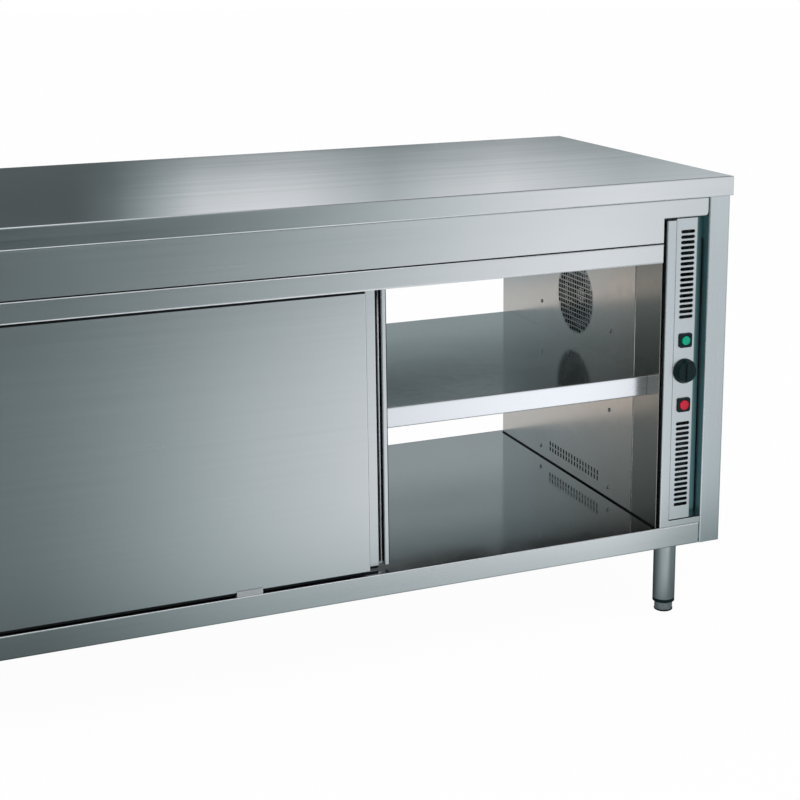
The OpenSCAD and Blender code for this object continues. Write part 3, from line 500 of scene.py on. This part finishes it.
def cavity_edges(black, bright):
    """Painted shade along the foot of both cavity walls, and a painted highlight on the front liner's edge.
    """
    wall_low, wall_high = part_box("right_inner_wall")
    liner_low, liner_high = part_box("right_front_liner")
    right = wall_low.x
    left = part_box("left_inner_wall")[1].x
    floor_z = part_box("floor_panel")[1].z
    length = (liner_low.y + 5 * MM, wall_high.y - MM)
    # Painted shade: black strips in the crease at the foot of each cavity wall
    crease_shades = [("right_foot_crease_shade", (right - CREASE_SHADE_WIDTH, right)), ("left_foot_crease_shade", (left, left + CREASE_SHADE_WIDTH))]
    for name, x_range in crease_shades:
        strip(name, "y", (floor_z, floor_z + CREASE_SHADE_WIDTH), x_range, length, black, "cabinet")
    # Painted highlight: a bright strip on the front liner's edge
    strip("liner_edge_highlight", "z", (right - 0.5 * MM, right + 0.5 * MM),
          (liner_high.y - MM, liner_high.y + 0.6 * MM),
          (liner_low.z + 2 * MM, liner_high.z - 2 * MM), bright, "cabinet")


# The recess beside the control plate: its back, just behind the plate's, its top above the rail's
# foot, and its width
RECESS_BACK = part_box("control_plate")[1].y + 0.3 * MM
RECESS_RISE = 36 * MM
RECESS_WIDTH = 25 * MM


def control_edges(black):
    """Painted shade: black strips in the control recess's inner corner and in the gap under the plate."""
    plate_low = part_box("control_plate")[0]
    rail_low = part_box("top_rails")[0]
    side_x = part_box("right_side_panel")[0].x
    strip("recess_corner_shade", "z", (side_x - 2.6 * MM, side_x - 0.9 * MM),
          (RECESS_BACK - 1.4 * MM, RECESS_BACK), (plate_low.z, rail_low.z + RECESS_RISE), black,
          "cabinet")
    strip("plate_foot_shade", "x", (plate_low.y - 0.25 * MM, plate_low.y + 0.6 * MM),
          (plate_low.z - 1.5 * MM, plate_low.z + 0.9 * MM), (plate_low.x, side_x - MM), black,
          "cabinet")


FEET = [f"foot_{side}_{hand}" for side in ("front", "rear") for hand in ("left", "right")]
# Section of a foot's pad, in millimetres outward from the foot's rim and up from its base
PAD_PROFILE = [(-1.2, 0.0), (0.1, 0.0), (0.7, 0.6), (0.7, 2.6), (0.2, 3.2), (-1.2, 3.2)]


def foot_pads(material):
    """A black ring round the base of each foot."""
    for name in FEET:
        low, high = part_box(name)
        x, y = (low.x + high.x) / 2, (low.y + high.y) / 2
        radius = (high.x - low.x) / 2
        outline = [(radius + r * MM, low.z + z * MM) for r, z in PAD_PROFILE]

        def build(bm, x=x, y=y, outline=outline, steps=48):
            rows = []
            for i in range(steps):
                a = math.tau * i / steps
                ring = [(x + r * math.cos(a), y + r * math.sin(a), z) for r, z in outline]
                rows.append([bm.verts.new(at) for at in ring])
            for i, row in enumerate(rows):
                after = rows[(i + 1) % steps]
                for k in range(len(outline)):
                    m = (k + 1) % len(outline)
                    bm.faces.new((row[k], row[m], after[m], after[k]))

        mesh_piece(f"{name}_pad", build, material, name)


# --- Stage ----------------------------------------------------------------


def stage_mesh(name, build, material, card=False):
    """A piece of the studio; a card is seen only by what reflects it."""
    mesh = bpy.data.meshes.new(name)
    bm = bmesh.new()
    build(bm)
    bm.to_mesh(mesh)
    bm.free()
    made = bpy.data.objects.new(name, mesh)
    bpy.context.scene.collection.objects.link(made)
    mesh.materials.append(material)
    if card:
        made.visible_camera = False
        made.visible_diffuse = False
        made.visible_shadow = False


def disc(bm, radius, z, steps=96):
    angles = [math.tau * i / steps for i in range(steps)]
    bm.faces.new([bm.verts.new((radius * math.sin(a), -radius * math.cos(a), z)) for a in angles])


def cylinder_wall(bm, radius, low, high, steps=72):
    rows = []
    for i in range(steps + 1):
        a = math.tau * i / steps
        x, y = radius * math.sin(a), -radius * math.cos(a)
        rows.append([bm.verts.new((x, y, z)) for z in (low, high)])
    for a, b in zip(rows, rows[1:]):
        bm.faces.new((a[0], a[1], b[1], b[0]))


def upright_card(bm, x0, x1, y, z0, z1):
    corners = [bm.verts.new(at) for at in ((x0, y, z0), (x1, y, z0), (x1, y, z1), (x0, y, z1))]
    bm.faces.new(corners)


# How white the floor is to the camera and in metal, beside its own light
FLOOR_GLOW = 0.97
FLOOR_RADIUS = 30.0
STUDIO_RADIUS = 6.0
STUDIO_HEIGHT = 6.0
STUDIO_FLOOR_RISE = 0.002
COOL = (0.81, 0.995, 1.02)
NEUTRAL = (0.98, 1.0, 1.035)
WARM = (1.04, 1.0, 0.95)

# Tones of the studio floor in front of the cabinet, which fan out from a point behind it:
# degrees from the front towards the right, level far from the cabinet, level near it
FAN_CENTRE = (-0.75, 2.1)
FAN = [
    (-60, 0.5, 0.5), (-10, 0.05, 0.2), (8, 0.01, 0.21), (12, 0.02, 0.4), (15, 0.07, 0.61),
    (18, 0.22, 0.77), (21, 0.42, 0.88), (25, 0.82, 1.05), (29, 1.05, 1.22), (30.5, 1.08, 1.26),
    (32.5, 0.82, 0.63), (34, 0.7, 0.56), (70, 0.5, 0.5),
]

# Along y: where the fan's near tones turn into the far ones, and the dim strip before the cabinet
FAN_TURN = (-2.6, -3.8)
DIM_STRIP = (-0.62, -1.0)
# How far from the middle, along x and along y, the shade under the cabinet starts and stops fading
SHADE_X = (0.75, 1.05)
SHADE_Y = (0.22, 0.5)


def floor_material():
    """A pale floor that stays as pale in metal as it is to the camera, and keeps a soft shadow."""
    g = Graph("floor")
    grain = g.noise((14.0, 14.0, 14.0), detail=3.0)
    color = g.tinted(g.span(grain, 0.0, 1.0, 0.3, 0.7), (0.90, 0.90, 0.90), (0.93, 0.93, 0.93))
    cloth = g.node("BsdfDiffuse", {"Color": color}).outputs["BSDF"]
    pale = g.node("Emission", {"Color": (1, 1, 1, 1), "Strength": 1.0}).outputs["Emission"]
    path = g.node("LightPath")
    seen = g.math("ADD", path.outputs["Is Camera Ray"], path.outputs["Is Glossy Ray"])
    seen = g.math("ADD", seen, path.outputs["Is Transmission Ray"], clamp=True)
    share = g.math("MULTIPLY", seen, FLOOR_GLOW)
    mix = g.node("MixShader", {0: share, 1: cloth, 2: pale})
    return g.finish(mix.outputs["Shader"])


def glow_material(g, level, tint):
    """Plain light of a level and a tint."""
    light = g.node("Emission", {"Color": tint, "Strength": level})
    return g.finish(light.outputs["Emission"])


def fan_tone(g, angle, column):
    stops = [((row[0] + 180) / 360, row[column]) for row in FAN]
    return g.ramp(angle, stops)


def studio_floor_material():
    """The floor as the metal sees it: bright to the right, darker to the left and under the cabinet."""
    g = Graph("studio_floor")
    x, y, _ = g.parts(g.place())
    east = g.math("SUBTRACT", x, FAN_CENTRE[0])
    south = g.math("SUBTRACT", FAN_CENTRE[1], y)
    angle = g.span(g.math("ARCTAN2", east, south), 0.0, 1.0, -math.pi, math.pi)
    away = g.span(y, 0.0, 1.0, *FAN_TURN)
    front = g.blend(away, fan_tone(g, angle, 2), fan_tone(g, angle, 1))
    front = g.math("MULTIPLY", front, g.span(y, 0.45, 1.0, *DIM_STRIP))
    behind = g.span(y, 0.0, 1.0, 0.0, 0.7)
    back = g.ramp(y, [(0.0, 0.5), (0.2, 0.62), (1.0, 0.5)], 0.0, STUDIO_RADIUS)
    level = g.blend(behind, front, back)
    shade_x = g.span(g.math("ABSOLUTE", x), 0.3, 1.0, *SHADE_X)
    shade_y = g.span(g.math("ABSOLUTE", y), 0.3, 1.0, *SHADE_Y)
    level = g.math("MULTIPLY", level, g.math("MAXIMUM", shade_x, shade_y))
    tint = g.tinted(g.span(level, 0.0, 1.0, 0.3, 0.9), COOL, NEUTRAL)
    tint = g.mixed(behind, tint, (*WARM, 1.0))
    return glow_material(g, level, tint)


def studio_wall_material():
    """The walls: darkest ahead of the cabinet, brighter to its sides, near the floor and high up."""
    g = Graph("studio_wall")
    x, y, z = g.parts(g.place())
    angle = g.span(g.math("ARCTAN2", x, g.math("MULTIPLY", y, -1.0)), 0.0, 1.0, -math.pi, math.pi)
    # Degrees from the front towards the right, and level
    stops = [(-180, 0.22), (-120, 0.22), (-90, 0.5), (-50, 0.5), (-20, 0.35), (0, 0.23), (12, 0.28),
             (18, 0.37), (24, 0.56), (35, 0.72), (60, 0.6), (100, 0.45), (125, 0.22), (180, 0.22)]
    level = g.ramp(angle, [((at + 180) / 360, tone) for at, tone in stops])
    rise = g.ramp(z, [(0.0, 1.4), (0.25, 1.2), (0.38, 1.0), (1.0, 1.3)], 0.0, STUDIO_HEIGHT)
    level = g.math("MULTIPLY", level, rise)
    tint = g.tinted(g.span(level, 0.0, 1.0, 0.3, 0.9), COOL, NEUTRAL)
    return glow_material(g, level, tint)


def studio_ceiling_material():
    """The ceiling: bright over the left half, dimmer to the right."""
    g = Graph("studio_ceiling")
    x, _, _ = g.parts(g.place())
    return glow_material(g, g.span(x, 1.0, 0.25, 0.6, 2.0), (*NEUTRAL, 1.0))


REAR_CARD_X = (-1.5, 3.0)
REAR_CARD_Y = 1.35
REAR_CARD_Z = (0.3, 2.2)


def rear_card_material():
    """A board a metre behind the cabinet, which the worktop mirrors as dark and bright uprights."""
    g = Graph("rear_card")
    x, _, z = g.parts(g.place())
    left, right = REAR_CARD_X
    # The board's level along x, and its factor over the height
    stops = [(-1.5, 0.11), (0.0, 0.11), (0.1, 0.2), (0.18, 0.42), (0.33, 0.9), (0.5, 1.0), (0.62, 0.96),
             (0.74, 0.78), (0.88, 0.63), (1.05, 0.82), (1.24, 0.96), (1.45, 0.8), (1.65, 0.66),
             (1.9, 0.72), (3.0, 0.7)]
    level = g.ramp(x, [((at - left) / (right - left), tone) for at, tone in stops], left, right)
    level = g.blend(g.span(z, 0.0, 1.0, 0.96, 1.06), 0.8, level)
    heights = [(0.3, 0.5), (0.62, 0.6), (0.72, 0.42), (0.78, 0.46), (0.87, 0.24), (0.95, 0.14),
               (1.0, 0.2), (1.05, 0.48), (1.09, 0.73), (1.13, 0.86), (1.17, 0.95), (1.3, 1.0)]
    low, high = REAR_CARD_Z
    rise = g.ramp(z, [((at - low) / (high - low), tone) for at, tone in heights], low, high)
    level = g.math("MULTIPLY", level, rise)
    tint = g.tinted(g.span(level, 0.0, 1.0, 0.2, 0.8), COOL, NEUTRAL)
    return glow_material(g, level, tint)


def add_stage():
    stage_mesh("floor", lambda bm: disc(bm, FLOOR_RADIUS, 0.0), floor_material())
    stage_mesh("studio_floor", lambda bm: disc(bm, STUDIO_RADIUS, STUDIO_FLOOR_RISE),
               studio_floor_material(), card=True)
    stage_mesh("studio_wall", lambda bm: cylinder_wall(bm, STUDIO_RADIUS, 0.0, STUDIO_HEIGHT),
               studio_wall_material(), card=True)
    stage_mesh("studio_ceiling", lambda bm: disc(bm, STUDIO_RADIUS, STUDIO_HEIGHT),
               studio_ceiling_material(), card=True)
    stage_mesh("rear_card", lambda bm: upright_card(bm, *REAR_CARD_X, REAR_CARD_Y, *REAR_CARD_Z),
               rear_card_material(), card=True)
    add_world()
    add_lamps()


WORLD_LIGHT = 0.85


def add_world():
    world = bpy.data.worlds.new("studio")
    bpy.context.scene.world = world
    world.use_nodes = True
    tree = world.node_tree
    tree.nodes.clear()
    out = tree.nodes.new("ShaderNodeOutputWorld")
    white = tree.nodes.new("ShaderNodeBackground")
    light = tree.nodes.new("ShaderNodeBackground")
    white.inputs["Color"].default_value = (1.0, 1.0, 1.0, 1.0)
    white.inputs["Strength"].default_value = 1.0
    light.inputs["Color"].default_value = (0.97, 0.985, 1.0, 1.0)
    light.inputs["Strength"].default_value = WORLD_LIGHT
    path = tree.nodes.new("ShaderNodeLightPath")
    mix = tree.nodes.new("ShaderNodeMixShader")
    seen = path.outputs["Is Camera Ray"]
    for ray in ("Is Glossy Ray", "Is Transmission Ray"):
        add = tree.nodes.new("ShaderNodeMath")
        add.operation = "ADD"
        add.use_clamp = True
        tree.links.new(seen, add.inputs[0])
        tree.links.new(path.outputs[ray], add.inputs[1])
        seen = add.outputs[0]
    tree.links.new(seen, mix.inputs[0])
    tree.links.new(light.outputs[0], mix.inputs[1])
    tree.links.new(white.outputs[0], mix.inputs[2])
    tree.links.new(mix.outputs[0], out.inputs["Surface"])


def add_lamps():
    """One large soft box over the front, for the floor and the plastics."""
    data = bpy.data.lights.new("soft_box", "AREA")
    data.shape = "RECTANGLE"
    data.size, data.size_y = 3.0, 2.0
    data.energy = 60.0
    lamp = bpy.data.objects.new("soft_box", data)
    bpy.context.scene.collection.objects.link(lamp)
    lamp.location = (-1.5, -3.0, 3.6)
    lamp.rotation_euler = (Vector((0, 0, 0.4)) - lamp.location).to_track_quat("-Z", "Y").to_euler()
    lamp.visible_glossy = False


# --- Finishes of the CAD nodes ------------------------------------------------

STEEL = (0.69, 0.706, 0.713)
GRILLE_RADIUS = 0.074


def paint(material, *names):
    for name in names:
        mesh = NODES[name].data
        mesh.materials.clear()
        mesh.materials.append(material)
        for polygon in mesh.polygons:
            polygon.material_index = 0


def accent(material, name, chosen):
    """Gives a second finish to the faces of a node that are chosen by their middle and normal."""
    mesh = NODES[name].data
    mesh.materials.append(material)
    index = len(mesh.materials) - 1
    for polygon in mesh.polygons:
        if chosen(polygon.center, polygon.normal):
            polygon.material_index = index


def grille_centre():
    """The middle of the fan grille: the impeller's axis, in the face of the inner wall."""
    wall_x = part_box("right_inner_wall")[0].x
    fan_low, fan_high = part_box("fan_impeller")
    return wall_x, (fan_low.y + fan_high.y) / 2, (fan_low.z + fan_high.z) / 2


def add_finishes():
    along = brushed("steel_along_x", STEEL, 0.25, "x")
    top = brushed("steel_worktop", STEEL, 0.17, "x", anisotropy=0.5, waves=0.5)
    # Painted shade: the uprights' steel is a darker, bluer copy of the steel colour
    vertical_steel_shaded = brushed("vertical_steel_painted_shade", (0.618, 0.652, 0.663), 0.26, "z")
    # Painted reflection: the legs' steel is darker, with a teal tint on its glancing reflections
    leg_steel_reflection = brushed("leg_steel_painted_reflection", shade(STEEL, 0.9), 0.2, "z", glancing_reflection_tint=(0.42, 0.48, 0.5))
    door = brushed("steel_door", STEEL, 0.24, "x", anisotropy=0.4)
    pan = brushed("steel_door_back", shade(STEEL, 0.9), 0.35, "x", metallic=0.75)
    # The cavity walls: painted shade with heat tint towards the front, and painted shade round the fan
    # grille
    wall = polished("steel_bright", STEEL, 0.19, heat_tint_and_shade=(0.62, 0.57, 0.53),
                    grille_shade=(grille_centre(), GRILLE_RADIUS, (0.36, 0.37, 0.37)))
    # Painted shade: the front liner's steel is given a dark, warm colour
    liner = polished("liner_painted_shade", (0.34, 0.325, 0.3), 0.16)
    shelf = polished("steel_shelf", STEEL, 0.10)
    # Painted shade: the top of the cavity floor is a darker copy of the steel
    inner_floor_shade = polished("cavity_floor_painted_shade", shade(STEEL, 0.78), 0.1)
    # Painted highlight: the shelf's front edge is a lighter copy of the steel
    shelf_edge_highlight = brushed("shelf_edge_painted_highlight", (0.86, 0.87, 0.9), 0.26, "x")
    # Painted shade: the shelf's underside is nearly black
    shelf_underside_shade = zinc("shelf_underside_painted_shade", (0.13, 0.13, 0.125), 0.4)
    # Painted shade and reflection in the recess beside the control plate: a dark teal back, teal-grey side
    # walls
    bay_shade = brushed("bay_painted_shade", (0.13, 0.23, 0.24), 0.3, "z")
    bay_side_reflection = brushed("bay_side_painted_reflection", (0.44, 0.64, 0.67), 0.35, "z")
    plated = zinc("zinc", (0.62, 0.63, 0.65), 0.38)
    black = plastic("black_moulding", (0.006, 0.016, 0.018), 0.26)
    # Black rubber for the seals and foot pads, and black painted shade for gap strips and the grille's holes
    black_rubber_and_shade = plastic("black_rubber_and_painted_shade", (0.006, 0.007, 0.008), 0.6, texture=0.2)
    white = plastic("white_moulding", (0.78, 0.77, 0.73), 0.45)
    roller = plastic("roller_nylon", (0.7, 0.69, 0.64), 0.4)
    heater = zinc("heater_sheath", (0.25, 0.23, 0.22), 0.45)
    fan = zinc("fan_sheet", (0.8, 0.81, 0.83), 0.22)
    # Painted highlight: bright strips along sheet edges and in the grip grooves
    edge_highlight = worn_metal_and_highlight("painted_edge_highlight", 0.93)
    clip = worn_metal_and_highlight("worn_clip", 0.5)

    paint(top, "worktop")
    paint(along, "front_fascia", "rear_fascia", "top_rails", "floor_panel")
    paint(vertical_steel_shaded, "right_side_panel", "left_side_panel", "control_frame", "control_plate",
          "service_panel")
    paint(leg_steel_reflection, "legs")
    paint(wall, "right_inner_wall", "left_inner_wall", "cavity_ceiling")
    paint(liner, "right_front_liner")
    paint(shelf, "shelf", "shelf_supports")
    paint(clip, "bottom_guides")
    paint(plated, "worktop_stiffeners", "door_tracks", "thermostat", "fan_bracket",
          "fan_motor", "wall_screws", *FEET)
    paint(fan, "fan_impeller")
    paint(heater, "heater_element")
    paint(white, "terminal_block")
    paint(black, "switch_bezel", "lamp_bezel", "thermostat_knob", "cable_gland", "leg_inserts")
    paint(lens("green_lens", (0.0, 0.33, 0.19), 0.05), "green_button")
    paint(lens("red_lens", (0.5, 0.012, 0.03), 0.05), "red_lens")

    plate_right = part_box("control_plate")[1].x
    # Painted shade: the wall's faces that don't face sideways, the sides of the grille's holes and its cut
    # edges, are black
    accent(black_rubber_and_shade, "right_inner_wall", lambda at, normal: abs(normal.x) < 0.5)
    # Painted shade on the top of the cavity floor
    accent(inner_floor_shade, "floor_panel", lambda at, normal: normal.z > 0.9)
    # Painted highlight on the shelf's front edge
    accent(shelf_edge_highlight, "shelf", lambda at, normal: normal.y < -0.9)
    # Painted shade under the shelf
    accent(shelf_underside_shade, "shelf", lambda at, normal: normal.z < -0.5)
    # Painted shade on the recess's back, and painted reflection on its side walls
    accent(bay_shade, "control_frame",
           lambda at, normal: at.x > plate_right - MM and abs(at.y - RECESS_BACK) < MM)
    accent(bay_side_reflection, "control_frame",
           lambda at, normal: at.x > plate_right - MM and normal.x < -0.9)
    accent(bay_side_reflection, "right_side_panel",
           lambda at, normal: normal.x < -0.9 and at.x < plate_right + RECESS_WIDTH)

    for side in ("front", "rear"):
        for hand in ("left", "right"):
            paint(door, f"{side}_{hand}_door_skin")
            paint(pan, f"{side}_{hand}_door_back")
            paint(plated, f"{side}_{hand}_hangers")
            paint(roller, f"{side}_{hand}_roller_a", f"{side}_{hand}_roller_b")
            leaf = Door(side, hand)
            door_seal(leaf, black_rubber_and_shade)
            door_grip(leaf, black_rubber_and_shade, edge_highlight)
            door_gap_shades(leaf, black_rubber_and_shade)
    sheet_edges(black_rubber_and_shade, edge_highlight)
    cavity_edges(black_rubber_and_shade, edge_highlight)
    control_edges(black_rubber_and_shade)
    foot_pads(black_rubber_and_shade)


bpy.context.scene.view_settings.view_transform = "Standard"
add_camera()
add_stage()
add_finishes()
